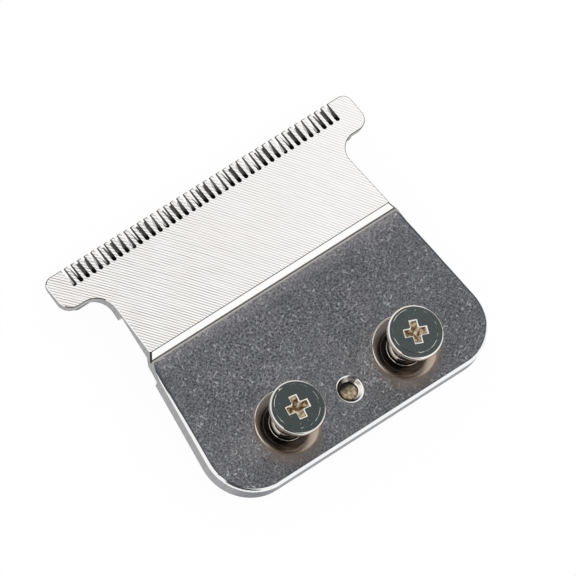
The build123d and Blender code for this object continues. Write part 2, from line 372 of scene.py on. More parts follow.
# Run-out at the strip's foot: the wheel's last touch, satin and a little warm, in short streaks along X
runout_streak = Vector((2.0, 0.08, 0.08)) * MM
foot_steel, tree, surface = new_material("wheel_runout_stainless")
coords = add(tree, "ShaderNodeTexCoord").outputs["Object"]
drawn = add(
    tree,
    "ShaderNodeMapping",
    {"Vector": coords, "Scale": runout_streak},
    vector_type="TEXTURE",
)
grain = add(tree, "ShaderNodeTexNoise", {"Vector": drawn.outputs["Vector"], "Scale": 1.0, "Detail": 2.0})
tone = add(
    tree,
    "ShaderNodeMix",
    {"Factor": grain.outputs["Fac"], MIX_A: linear("#d9d5d1"), MIX_B: linear("#f2eeea")},
    data_type="RGBA",
)
gloss = add(tree, "ShaderNodeMapRange", {"Value": grain.outputs["Fac"], "To Min": 0.38, "To Max": 0.52})
shader = add(
    tree,
    "ShaderNodeBsdfPrincipled",
    {"Base Color": tone.outputs[MIXED], "Metallic": 1.0, "Roughness": gloss.outputs["Result"]},
)
tree.links.new(shader.outputs["BSDF"], surface)

# Tumbled stainless: ceramic media peen the body to a grey satin, with fine bright dents and short scratches.
# The real grain is finer than a pixel, so it is drawn at the coarser size at which it shows.
# A smooth brown crescent behind each seat is painted shade, standing for the dish's wider rear wall, and the
# relief is eased there.
grain_size = 0.22 * MM
grain_depth = 0.005 * MM
dent_size = 0.3 * MM
scratch_turns = (25, 40, 112)
scratch_size = (0.9 * MM, 0.13 * MM, 1)
dish_shade_shift = Vector((-0.5, -1.0, 0)) * MM
dish_shade_full = 3.1 * MM
dish_shade_end = 3.9 * MM
runout_back_y = foot_y - 1.4 * MM
satin_cloud_size = 3.5 * MM
tumbled_steel, tree, surface = new_material("tumbled_stainless_body")
coords = add(tree, "ShaderNodeTexCoord").outputs["Object"]
grain = add(
    tree,
    "ShaderNodeTexNoise",
    {"Vector": coords, "Scale": 1 / grain_size, "Detail": 2.0, "Roughness": 0.75},
)
peened = add(tree, "ShaderNodeMapRange", {"Value": grain.outputs["Fac"], "From Min": 0.34, "From Max": 0.68})
dents = add(tree, "ShaderNodeTexNoise", {"Vector": coords, "Scale": 1 / dent_size, "Detail": 1.0})
dented = add(tree, "ShaderNodeMapRange", {"Value": dents.outputs["Fac"], "From Min": 0.62, "From Max": 0.85})
bright = dented.outputs["Result"]
for turn in scratch_turns:
    run = add(
        tree,
        "ShaderNodeMapping",
        {"Vector": coords, "Rotation": (0, 0, radians(turn)), "Scale": scratch_size},
        vector_type="TEXTURE",
    )
    hair = add(tree, "ShaderNodeTexNoise", {"Vector": run.outputs["Vector"], "Scale": 1.0, "Detail": 0.0})
    scratch = add(
        tree,
        "ShaderNodeMapRange",
        {"Value": hair.outputs["Fac"], "From Min": 0.7, "From Max": 0.92},
    )
    marks = add(tree, "ShaderNodeMath", {0: bright, 1: scratch.outputs["Result"]}, operation="MAXIMUM")
    bright = marks.outputs["Value"]
base = add(
    tree,
    "ShaderNodeMix",
    {"Factor": peened.outputs["Result"], MIX_A: linear("#7a797c"), MIX_B: linear("#d2d0d5")},
    data_type="RGBA",
)
tone = add(
    tree,
    "ShaderNodeMix",
    {"Factor": bright, MIX_A: base.outputs[MIXED], MIX_B: linear("#ffffff")},
    data_type="RGBA",
)
level = add(tree, "ShaderNodeVectorMath", {0: coords, 1: (1, 1, 0)}, operation="MULTIPLY")
nearest = 1.0
for centre in seat_centres:
    dish_shade_centre = (centre.x + dish_shade_shift.x, centre.y + dish_shade_shift.y, 0)
    reach = add(
        tree,
        "ShaderNodeVectorMath",
        {0: level.outputs["Vector"], 1: dish_shade_centre},
        operation="DISTANCE",
    )
    closer = add(tree, "ShaderNodeMath", {0: reach.outputs["Value"], 1: nearest}, operation="MINIMUM")
    nearest = closer.outputs["Value"]
# Painted shade: a smooth brown crescent behind each seat, for the dish's wider rear wall
dish_shade = add(
    tree,
    "ShaderNodeMapRange",
    {"Value": nearest, "From Min": dish_shade_full, "From Max": dish_shade_end, "To Min": 0.65, "To Max": 0.0},
)
tone = add(
    tree,
    "ShaderNodeMix",
    {"Factor": dish_shade.outputs["Result"], MIX_A: tone.outputs[MIXED], MIX_B: linear("#c3b5ab")},
    data_type="RGBA",
)
place = add(tree, "ShaderNodeSeparateXYZ", {"Vector": coords})
runout = add(
    tree,
    "ShaderNodeMapRange",
    {
        "Value": place.outputs["Y"],
        "From Min": runout_back_y,
        "From Max": foot_y,
        "To Min": 0.0,
        "To Max": 0.16,
    },
)
cloud = add(tree, "ShaderNodeTexNoise", {"Vector": coords, "Scale": 1 / satin_cloud_size, "Detail": 2.0})
satin = add(
    tree,
    "ShaderNodeMapRange",
    {"Value": cloud.outputs["Fac"], "From Min": 0.3, "From Max": 0.7, "To Min": 0.34, "To Max": 0.4},
)
satin = add(
    tree,
    "ShaderNodeMath",
    {0: satin.outputs["Result"], 1: runout.outputs["Result"]},
    operation="ADD",
)
gloss = add(
    tree,
    "ShaderNodeMath",
    {0: bright, 1: 0.25, 2: satin.outputs["Value"]},
    operation="MULTIPLY_ADD",
)
# The grain's relief is eased inside the painted shade crescent
blend_ramp = add(tree, "ShaderNodeMapRange", {"Value": dish_shade.outputs["Result"], "To Min": 1.0, "To Max": 0.1})
relief = add(
    tree,
    "ShaderNodeBump",
    {"Height": grain.outputs["Fac"], "Strength": blend_ramp.outputs["Result"], "Distance": grain_depth},
)
shader = add(
    tree,
    "ShaderNodeBsdfPrincipled",
    {
        "Base Color": tone.outputs[MIXED],
        "Metallic": 1.0,
        "Roughness": gloss.outputs["Value"],
        "Normal": relief.outputs["Normal"],
    },
)
tree.links.new(shader.outputs["BSDF"], surface)

# Polished edge: the rounded upper edge is buffed, and mirrors the room as bright and dark lines
ripple_size = 0.5 * MM
polished_steel, tree, surface = new_material("polished_stainless_edge")
coords = add(tree, "ShaderNodeTexCoord").outputs["Object"]
ripple = add(tree, "ShaderNodeTexNoise", {"Vector": coords, "Scale": 1 / ripple_size, "Detail": 3.0})
gloss = add(tree, "ShaderNodeMapRange", {"Value": ripple.outputs["Fac"], "To Min": 0.06, "To Max": 0.16})
shader = add(
    tree,
    "ShaderNodeBsdfPrincipled",
    {"Base Color": linear("#f4f4f5"), "Metallic": 1.0, "Roughness": gloss.outputs["Result"]},
)
tree.links.new(shader.outputs["BSDF"], surface)

# Stamped wall: the punch leaves faint upright streaks, duller than the polished edge.
# The rear is painted darker and bluer as shade.
shear_width = 0.25 * MM
shear_height = 3 * MM
dark_from_y = plate_low.y + 2.5 * MM
dark_to_y = plate_low.y + 0.5 * MM
stamped_steel, tree, surface = new_material("stamped_stainless_wall")
coords = add(tree, "ShaderNodeTexCoord").outputs["Object"]
sheared = add(
    tree,
    "ShaderNodeMapping",
    {"Vector": coords, "Scale": (1 / shear_width, 1 / shear_width, 1 / shear_height)},
)
grain = add(tree, "ShaderNodeTexNoise", {"Vector": sheared.outputs["Vector"], "Scale": 1.0, "Detail": 2.0})
tone = add(
    tree,
    "ShaderNodeMix",
    {"Factor": grain.outputs["Fac"], MIX_A: linear("#868587"), MIX_B: linear("#acabad")},
    data_type="RGBA",
)
place = add(tree, "ShaderNodeSeparateXYZ", {"Vector": coords})
# Painted shade: darker and bluer towards the rear
rear = add(
    tree,
    "ShaderNodeMapRange",
    {"Value": place.outputs["Y"], "From Min": dark_from_y, "From Max": dark_to_y},
)
tone = add(
    tree,
    "ShaderNodeMix",
    {"Factor": rear.outputs["Result"], MIX_A: tone.outputs[MIXED], MIX_B: linear("#63666d")},
    data_type="RGBA",
)
shader = add(
    tree,
    "ShaderNodeBsdfPrincipled",
    {"Base Color": tone.outputs[MIXED], "Metallic": 1.0, "Roughness": 0.32},
)
tree.links.new(shader.outputs["BSDF"], surface)

# Underside: the hollow and the lands are ground along X, the lands last
hollow_streak = 9 * MM
hollow_grit = 0.12 * MM
hollow_depth = 0.004 * MM
underside_steel, tree, surface = new_material("hollow_ground_stainless")
coords = add(tree, "ShaderNodeTexCoord").outputs["Object"]
drawn = add(
    tree,
    "ShaderNodeMapping",
    {"Vector": coords, "Scale": (1 / hollow_streak, 1 / hollow_grit, 1 / hollow_grit)},
)
grain = add(tree, "ShaderNodeTexNoise", {"Vector": drawn.outputs["Vector"], "Scale": 1.0, "Detail": 3.0})
tone = add(
    tree,
    "ShaderNodeMix",
    {"Factor": grain.outputs["Fac"], MIX_A: linear("#a3a2a1"), MIX_B: linear("#dddcda")},
    data_type="RGBA",
)
gloss = add(tree, "ShaderNodeMapRange", {"Value": grain.outputs["Fac"], "To Min": 0.22, "To Max": 0.42})
relief = add(
    tree,
    "ShaderNodeBump",
    {"Height": grain.outputs["Fac"], "Strength": 0.6, "Distance": hollow_depth},
)
shader = add(
    tree,
    "ShaderNodeBsdfPrincipled",
    {
        "Base Color": tone.outputs[MIXED],
        "Metallic": 1.0,
        "Roughness": gloss.outputs["Result"],
        "Normal": relief.outputs["Normal"],
    },
)
tree.links.new(shader.outputs["BSDF"], surface)

# Turned seats: the dish keeps the tool's faint rings on a brown tone, painted black at the bottom as shade
# under the screw head, and paler towards the rear as painted light
seat_y = seat_centres[0].y
seat_floor_z = body_z - 0.85 * MM
shade_low_z = seat_floor_z + 0.02 * MM
shade_high_z = seat_floor_z + 0.3 * MM
dish_rear_y = seat_y - 2.0 * MM
tool_ring_spacing = 0.07 * MM
turned_steel, tree, surface = new_material("turned_stainless_seat")
coords = add(tree, "ShaderNodeTexCoord").outputs["Object"]
place = add(tree, "ShaderNodeSeparateXYZ", {"Vector": coords})
# Painted shade: black at the bottom of the dish, under the screw head
lit_share = add(
    tree,
    "ShaderNodeMapRange",
    {"Value": place.outputs["Z"], "From Min": shade_low_z, "From Max": shade_high_z},
)
# Painted light: paler towards the rear of the dish
rear = add(
    tree,
    "ShaderNodeMapRange",
    {"Value": place.outputs["Y"], "From Min": seat_y, "From Max": dish_rear_y},
)
upper_wall_tone = add(
    tree,
    "ShaderNodeMix",
    {"Factor": rear.outputs["Result"], MIX_A: linear("#756d68"), MIX_B: linear("#c2b2a5")},
    data_type="RGBA",
)
black = add(
    tree,
    "ShaderNodeMix",
    {"Factor": rear.outputs["Result"], MIX_A: linear("#3a322e"), MIX_B: linear("#8a7a6e")},
    data_type="RGBA",
)
tone = add(
    tree,
    "ShaderNodeMix",
    {"Factor": lit_share.outputs["Result"], MIX_A: black.outputs[MIXED], MIX_B: upper_wall_tone.outputs[MIXED]},
    data_type="RGBA",
)
rings = add(tree, "ShaderNodeMath", {0: place.outputs["Z"], 1: tau / tool_ring_spacing}, operation="MULTIPLY")
ring = add(tree, "ShaderNodeMath", {0: rings.outputs["Value"]}, operation="SINE")
gloss = add(
    tree,
    "ShaderNodeMapRange",
    {"Value": ring.outputs["Value"], "From Min": -1.0, "From Max": 1.0, "To Min": 0.18, "To Max": 0.34},
)
shader = add(
    tree,
    "ShaderNodeBsdfPrincipled",
    {"Base Color": tone.outputs[MIXED], "Metallic": 1.0, "Roughness": gloss.outputs["Result"]},
)
tree.links.new(shader.outputs["BSDF"], surface)

# Seat floors: a black ring round each thread, thinner at the rear, is painted shade under the screw head
shade_thin_from_y = seat_y - 1.3 * MM
shade_thin_to_y = seat_y - 2.4 * MM
seat_floor_shade, tree, surface = new_material("shaded_black_seat_floor")
coords = add(tree, "ShaderNodeTexCoord").outputs["Object"]
place = add(tree, "ShaderNodeSeparateXYZ", {"Vector": coords})
# Painted shade: black round the thread, thinning towards the rear
rear = add(
    tree,
    "ShaderNodeMapRange",
    {"Value": place.outputs["Y"], "From Min": shade_thin_from_y, "From Max": shade_thin_to_y},
)
tone = add(
    tree,
    "ShaderNodeMix",
    {"Factor": rear.outputs["Result"], MIX_A: linear("#332c29"), MIX_B: linear("#8a7a6e")},
    data_type="RGBA",
)
shader = add(
    tree,
    "ShaderNodeBsdfPrincipled",
    {"Base Color": tone.outputs[MIXED], "Metallic": 1.0, "Roughness": 0.3},
)
tree.links.new(shader.outputs["BSDF"], surface)

# Lips of the seats: bright in front as a painted highlight, dull and brown behind as painted shade
lip_front_y = seat_y + 0.6 * MM
lip_rear_y = seat_y - 1.6 * MM
lip_steel, tree, surface = new_material("lit_and_shaded_lip")
coords = add(tree, "ShaderNodeTexCoord").outputs["Object"]
place = add(tree, "ShaderNodeSeparateXYZ", {"Vector": coords})
# Painted highlight in front, painted shade behind
bright_share = add(
    tree,
    "ShaderNodeMapRange",
    {"Value": place.outputs["Y"], "From Min": lip_rear_y, "From Max": lip_front_y},
)
tone = add(
    tree,
    "ShaderNodeMix",
    {"Factor": bright_share.outputs["Result"], MIX_A: linear("#ad9c90"), MIX_B: linear("#f6f3ef")},
    data_type="RGBA",
)
gloss = add(tree, "ShaderNodeMapRange", {"Value": bright_share.outputs["Result"], "To Min": 0.5, "To Max": 0.14})
shader = add(
    tree,
    "ShaderNodeBsdfPrincipled",
    {"Base Color": tone.outputs[MIXED], "Metallic": 1.0, "Roughness": gloss.outputs["Result"]},
)
tree.links.new(shader.outputs["BSDF"], surface)

# Tapped hole: dark on the left, bright on the right
bright_from_x = hole_centre.x - 0.2 * MM
bright_to_x = hole_centre.x + 0.9 * MM
tapped_steel, tree, surface = new_material("tapped_stainless_hole")
coords = add(tree, "ShaderNodeTexCoord").outputs["Object"]
place = add(tree, "ShaderNodeSeparateXYZ", {"Vector": coords})
bright_share = add(
    tree,
    "ShaderNodeMapRange",
    {"Value": place.outputs["X"], "From Min": bright_from_x, "From Max": bright_to_x},
)
tone = add(
    tree,
    "ShaderNodeMix",
    {"Factor": bright_share.outputs["Result"], MIX_A: linear("#38322d"), MIX_B: linear("#f1ece4")},
    data_type="RGBA",
)
shader = add(
    tree,
    "ShaderNodeBsdfPrincipled",
    {"Base Color": tone.outputs[MIXED], "Metallic": 1.0, "Roughness": 0.2},
)
tree.links.new(shader.outputs["BSDF"], surface)

# Slotted flanks: the tooth gaps are cut by a thin wheel and are rough inside, painted dark as the shade deep
# in the gaps.
# Its streaks run along Y.
flank_streak = Vector((0.06, 0.8, 0.06)) * MM
flank_steel, tree, surface = new_material("slotted_stainless_flank")
coords = add(tree, "ShaderNodeTexCoord").outputs["Object"]
drawn = add(
    tree,
    "ShaderNodeMapping",
    {"Vector": coords, "Scale": flank_streak},
    vector_type="TEXTURE",
)
grain = add(tree, "ShaderNodeTexNoise", {"Vector": drawn.outputs["Vector"], "Scale": 1.0, "Detail": 2.0})
# Painted shade: dark flanks deep in the tooth gaps
tone = add(
    tree,
    "ShaderNodeMix",
    {"Factor": grain.outputs["Fac"], MIX_A: linear("#403c3a"), MIX_B: linear("#5a5654")},
    data_type="RGBA",
)
gloss = add(tree, "ShaderNodeMapRange", {"Value": grain.outputs["Fac"], "To Min": 0.33, "To Max": 0.47})
shader = add(
    tree,
    "ShaderNodeBsdfPrincipled",
    {"Base Color": tone.outputs[MIXED], "Metallic": 1.0, "Roughness": gloss.outputs["Result"]},
)
tree.links.new(shader.outputs["BSDF"], surface)

# Corners at the strip's ends: near black and mottled, painted shade
dark_mottle_size = 0.1 * MM
corner_shade_steel, tree, surface = new_material("painted_shade_corner")
coords = add(tree, "ShaderNodeTexCoord").outputs["Object"]
dark_mottle = add(tree, "ShaderNodeTexNoise", {"Vector": coords, "Scale": 1 / dark_mottle_size, "Detail": 2.0})
tone = add(
    tree,
    "ShaderNodeMix",
    {"Factor": dark_mottle.outputs["Fac"], MIX_A: linear("#0f0c0a"), MIX_B: linear("#1a1713")},
    data_type="RGBA",
)
gloss = add(tree, "ShaderNodeMapRange", {"Value": dark_mottle.outputs["Fac"], "To Min": 0.5, "To Max": 0.7})
shader = add(
    tree,
    "ShaderNodeBsdfPrincipled",
    {"Base Color": tone.outputs[MIXED], "Roughness": gloss.outputs["Result"]},
)
tree.links.new(shader.outputs["BSDF"], surface)

# Hairline along the ground edges: a grey break between two finishes, painted dark as shade, a little uneven
# along its length
hairline_size = 0.4 * MM
crease_steel, tree, surface = new_material("shaded_stainless_hairline")
coords = add(tree, "ShaderNodeTexCoord").outputs["Object"]
break_up = add(tree, "ShaderNodeTexNoise", {"Vector": coords, "Scale": 1 / hairline_size, "Detail": 2.0})
tone = add(
    tree,
    "ShaderNodeMix",
    {"Factor": break_up.outputs["Fac"], MIX_A: linear("#5f5c5a"), MIX_B: linear("#7d7a78")},
    data_type="RGBA",
)
gloss = add(tree, "ShaderNodeMapRange", {"Value": break_up.outputs["Fac"], "To Min": 0.4, "To Max": 0.5})
shader = add(
    tree,
    "ShaderNodeBsdfPrincipled",
    {"Base Color": tone.outputs[MIXED], "Metallic": 1.0, "Roughness": gloss.outputs["Result"]},
)
tree.links.new(shader.outputs["BSDF"], surface)

plate_materials = [
    ground_steel,
    strip_steel,
    foot_steel,
    tumbled_steel,
    polished_steel,
    stamped_steel,
    underside_steel,
    turned_steel,
    seat_floor_shade,
    lip_steel,
    tapped_steel,
    flank_steel,
    corner_shade_steel,
    crease_steel,
]
finish_piece(plate, "comb_plate", plate_materials, "plate_set", "fixed_blade")

# Moving blade: the cutter, a flat steel comb with V-shaped gaps, ground on both faces.
# It lies under the comb plate, pressed up by the spring, and slides from side to side.
cutter = cad_copy("moving_blade")
cutter_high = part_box("moving_blade")[1]
CUTTER_GROUND, CUTTER_LAND, CUTTER_WALL = range(3)
land_up = 0.9
land_slack = 0.05 * MM
cutter_wall_up = 0.3
tooth_root_y = cutter_high.y - 2.5 * MM
for face in cutter.faces:
    middle = face.calc_center_median()
    on_land = face.normal.z > land_up and middle.z > cutter_high.z - land_slack
    face.material_index = CUTTER_LAND if on_land else CUTTER_GROUND
    if abs(face.normal.z) < cutter_wall_up and middle.y < tooth_root_y:
        face.material_index = CUTTER_WALL

# Lapped land: bright where the teeth rub the comb, and painted black behind the tooth roots as the shade of
# the comb's deep gap walls, where oil also collects
root_shade_front_y = cutter_high.y - 1.1 * MM
root_shade_back_y = root_shade_front_y - 0.3 * MM
land_steel, tree, surface = new_material("lapped_cutter_land")
coords = add(tree, "ShaderNodeTexCoord").outputs["Object"]
place = add(tree, "ShaderNodeSeparateXYZ", {"Vector": coords})
# Painted shade: black behind the tooth roots
lit_share = add(
    tree,
    "ShaderNodeMapRange",
    {"Value": place.outputs["Y"], "From Min": root_shade_back_y, "From Max": root_shade_front_y},
)
tone = add(
    tree,
    "ShaderNodeMix",
    {"Factor": lit_share.outputs["Result"], MIX_A: linear("#45403e"), MIX_B: linear("#e9e8e6")},
    data_type="RGBA",
)
shader = add(
    tree,
    "ShaderNodeBsdfPrincipled",
    {"Base Color": tone.outputs[MIXED], "Metallic": 1.0, "Roughness": 0.25},
)
tree.links.new(shader.outputs["BSDF"], surface)

# Cutter wall: blotched by the hardening, and painted dark as the shade beneath the comb plate
blotch_size = 0.6 * MM
shaded_hardened_steel, tree, surface = new_material("shaded_hardened_wall")
coords = add(tree, "ShaderNodeTexCoord").outputs["Object"]
blotch = add(tree, "ShaderNodeTexNoise", {"Vector": coords, "Scale": 1 / blotch_size, "Detail": 2.0})
# Painted shade: dark walls beneath the comb plate
tone = add(
    tree,
    "ShaderNodeMix",
    {"Factor": blotch.outputs["Fac"], MIX_A: linear("#3f4048"), MIX_B: linear("#565557")},
    data_type="RGBA",
)
gloss = add(tree, "ShaderNodeMapRange", {"Value": blotch.outputs["Fac"], "To Min": 0.28, "To Max": 0.42})
shader = add(
    tree,
    "ShaderNodeBsdfPrincipled",
    {"Base Color": tone.outputs[MIXED], "Metallic": 1.0, "Roughness": gloss.outputs["Result"]},
)
tree.links.new(shader.outputs["BSDF"], surface)
cutter_materials = [underside_steel, land_steel, shaded_hardened_steel]
finish_piece(cutter, "cutter_plate", cutter_materials, "cutter_set", "moving_blade")

# Drive yoke: a moulded acetal follower, staked to the cutter by two pegs, with a slot for the motor's pin.
# Its edges are rounded by the mould.
yoke_round = 0.1 * MM
yoke = cad_copy("drive_yoke")


def sharp_edges(mesh, least_angle=50):
    """The edges where two faces meet at this angle or more."""
    return [edge for edge in mesh.edges if edge.is_manifold and edge.calc_face_angle() > radians(least_angle)]


round_over(yoke, sharp_edges(yoke), yoke_round)

# Moulded acetal: milky, with faint flow clouds and the mould's spark-eroded grain
spark_size = 0.12 * MM
spark_depth = 0.01 * MM
flow_size = 1.8 * MM
acetal, tree, surface = new_material("moulded_acetal_yoke")
coords = add(tree, "ShaderNodeTexCoord").outputs["Object"]
spark = add(tree, "ShaderNodeTexNoise", {"Vector": coords, "Scale": 1 / spark_size, "Detail": 2.0})
relief = add(
    tree,
    "ShaderNodeBump",
    {"Height": spark.outputs["Fac"], "Strength": 0.4, "Distance": spark_depth},
)
flow = add(tree, "ShaderNodeTexNoise", {"Vector": coords, "Scale": 1 / flow_size, "Detail": 1.0})
tone = add(
    tree,
    "ShaderNodeMix",
    {"Factor": flow.outputs["Fac"], MIX_A: linear("#dedcd2"), MIX_B: linear("#eeece5")},
    data_type="RGBA",
)
shader = add(
    tree,
    "ShaderNodeBsdfPrincipled",
    {"Base Color": tone.outputs[MIXED], "Roughness": 0.45, "Normal": relief.outputs["Normal"]},
)
tree.links.new(shader.outputs["BSDF"], surface)
finish_piece(yoke, "slotted_yoke", [acetal], "cutter_set", "drive_yoke")

# Tension spring: one Y-shaped blank of rolled spring steel, bent down to the cutter's back and hardened.
# Its blanked edges are tumbled smooth.
spring_round = 0.05 * MM
spring = cad_copy("tension_spring")
round_over(spring, sharp_edges(spring), spring_round)

# Rolled spring steel: grey and a little warm, with streaks along Y from the rolls
roll_width = 0.15 * MM
roll_length = 6 * MM
spring_steel, tree, surface = new_material("rolled_spring_steel")
coords = add(tree, "ShaderNodeTexCoord").outputs["Object"]
rolled = add(
    tree,
    "ShaderNodeMapping",
    {"Vector": coords, "Scale": (1 / roll_width, 1 / roll_length, 1 / roll_width)},
)
grain = add(tree, "ShaderNodeTexNoise", {"Vector": rolled.outputs["Vector"], "Scale": 1.0, "Detail": 2.0})
gloss = add(tree, "ShaderNodeMapRange", {"Value": grain.outputs["Fac"], "To Min": 0.16, "To Max": 0.36})
shader = add(
    tree,
    "ShaderNodeBsdfPrincipled",
    {"Base Color": linear("#b9b4ac"), "Metallic": 1.0, "Roughness": gloss.outputs["Result"]},
)
tree.links.new(shader.outputs["BSDF"], surface)
finish_piece(spring, "flat_spring", [spring_steel], "plate_set", "tension_spring")

# Spring screw: a small slotted pan-head screw, driven up through the spring's foot into the centre hole.
# It is yellow-passivated, and its tip shows in the hole from above.
pan_round = 0.05 * MM
pan_edge_angle = 35
pan_screw = cad_copy("spring_screw")
round_over(pan_screw, sharp_edges(pan_screw, pan_edge_angle), pan_round)
PAN_HEAD, PAN_TIP = range(2)
for face in pan_screw.faces:
    face.material_index = PAN_TIP if face.calc_center_median().z > plate_low.z else PAN_HEAD

# Yellow zinc: a satin gold passivation with faint clouds
zinc_cloud_size = 1.2 * MM
yellow_zinc, tree, surface = new_material("yellow_zinc_screw")
coords = add(tree, "ShaderNodeTexCoord").outputs["Object"]
cloud = add(tree, "ShaderNodeTexNoise", {"Vector": coords, "Scale": 1 / zinc_cloud_size, "Detail": 2.0})
tone = add(
    tree,
    "ShaderNodeMix",
    {"Factor": cloud.outputs["Fac"], MIX_A: linear("#b0924f"), MIX_B: linear("#f0dcae")},
    data_type="RGBA",
)
shader = add(
    tree,
    "ShaderNodeBsdfPrincipled",
    {"Base Color": tone.outputs[MIXED], "Metallic": 1.0, "Roughness": 0.28},
)
tree.links.new(shader.outputs["BSDF"], surface)

# Tip of the screw: dusty and mottled cream, painted black in front as the shade of the hole's wall
dust_size = 0.35 * MM
shade_start_y = hole_centre.y - 0.2 * MM
tip_shade_y = hole_centre.y + 0.6 * MM
dusty_zinc, tree, surface = new_material("dusty_zinc_tip")
coords = add(tree, "ShaderNodeTexCoord").outputs["Object"]
stain = add(tree, "ShaderNodeTexNoise", {"Vector": coords, "Scale": 1 / dust_size, "Detail": 2.0})
mottled = add(tree, "ShaderNodeMapRange", {"Value": stain.outputs["Fac"], "From Min": 0.35, "From Max": 0.65})
tone = add(
    tree,
    "ShaderNodeMix",
    {"Factor": mottled.outputs["Result"], MIX_A: linear("#93794f"), MIX_B: linear("#e8dcc2")},
    data_type="RGBA",
)
place = add(tree, "ShaderNodeSeparateXYZ", {"Vector": coords})
# Painted shade: black towards the front, where the hole's wall shades the tip
hole_shade = add(
    tree,
    "ShaderNodeMapRange",
    {"Value": place.outputs["Y"], "From Min": shade_start_y, "From Max": tip_shade_y},
)
tone = add(
    tree,
    "ShaderNodeMix",
    {"Factor": hole_shade.outputs["Result"], MIX_A: tone.outputs[MIXED], MIX_B: linear("#2a251c")},
    data_type="RGBA",
)
shader = add(
    tree,
    "ShaderNodeBsdfPrincipled",
    {"Base Color": tone.outputs[MIXED], "Metallic": 0.35, "Roughness": 0.4},
)
tree.links.new(shader.outputs["BSDF"], surface)
pan_materials = [yellow_zinc, dusty_zinc]
finish_piece(pan_screw, "slotted_screw", pan_materials, "plate_set", "spring_screw")

# Mounting screws: two captive nickel-plated screws, turned with a flat cross-recessed head and a slim neck
# that flares into the rolled thread. The thread holds them in the tapped seats.
head_radius = 2.925 * MM
head_thickness = 0.95 * MM
head_round = 0.18 * MM
head_under_round = 0.3 * MM
head_flat_radius = 2.37 * MM
head_step = 0.022 * MM
head_step_shift = Vector((-0.02, 0.13, 0)) * MM
shoulder_run = 1.6 * head_step
shoulder_drop = 1.1 * head_step
step_top_drop = 0.1 * head_step
step_low_drop = 1.05 * head_step
step_inner_radius = 0.95 * head_flat_radius
step_outer_radius = head_flat_radius + 2 * head_step
neck_radius = 1.3 * MM
flare_radius = 0.45 * MM
collar_radius = 1.92 * MM
collar_round = 0.11 * MM
collar_z = body_z - 0.35 * MM
thread_radius = 1.95 * MM
root_radius = 1.62 * MM
thread_pitch = 0.7 * MM
thread_half_height = 0.3 * MM
thread_sink = 0.02 * MM
thread_top_z = collar_z - 0.3 * MM
tip_bevel = 0.45 * MM
recess_span = 2.45 * MM
recess_width = 0.76 * MM
recess_depth = 0.9 * MM
recess_floor_share = 0.6
recess_flute = 0.17 * MM
recess_edge_width = 0.08 * MM
hollow_corner = 0.5
facing_up = 0.9
top_slack = 0.01 * MM
ring_segments = 72
NICKEL, RECESS, RECESS_EDGE, SHANK, STEP = range(5)


def carry_ring(mesh, ring, radius, profile):
    """Extrudes a ring of edges round the Z axis through a profile's radii and heights, to the last ring."""
    for next_radius, height in profile:
        made = bmesh.ops.extrude_edge_only(mesh, edges=ring)["geom"]
        ring = [edge for edge in made if isinstance(edge, bmesh.types.BMEdge) and edge.is_boundary]
        rim = [vert for vert in made if isinstance(vert, bmesh.types.BMVert)]
        share = next_radius / radius
        bmesh.ops.scale(mesh, vec=(share, share, 1), verts=rim)
        bmesh.ops.translate(mesh, vec=(0, 0, height - rim[0].co.z), verts=rim)
        radius = next_radius
    return ring


def arc(centre_radius, centre_z, size, start, stop, steps):
    """Points of a profile's arc, as radius and height, from a start angle to a stop angle in degrees."""
    angles = [radians(start + (stop - start) * i / steps) for i in range(1, steps + 1)]
    return [(centre_radius + size * cos(angle), centre_z + size * sin(angle)) for angle in angles]


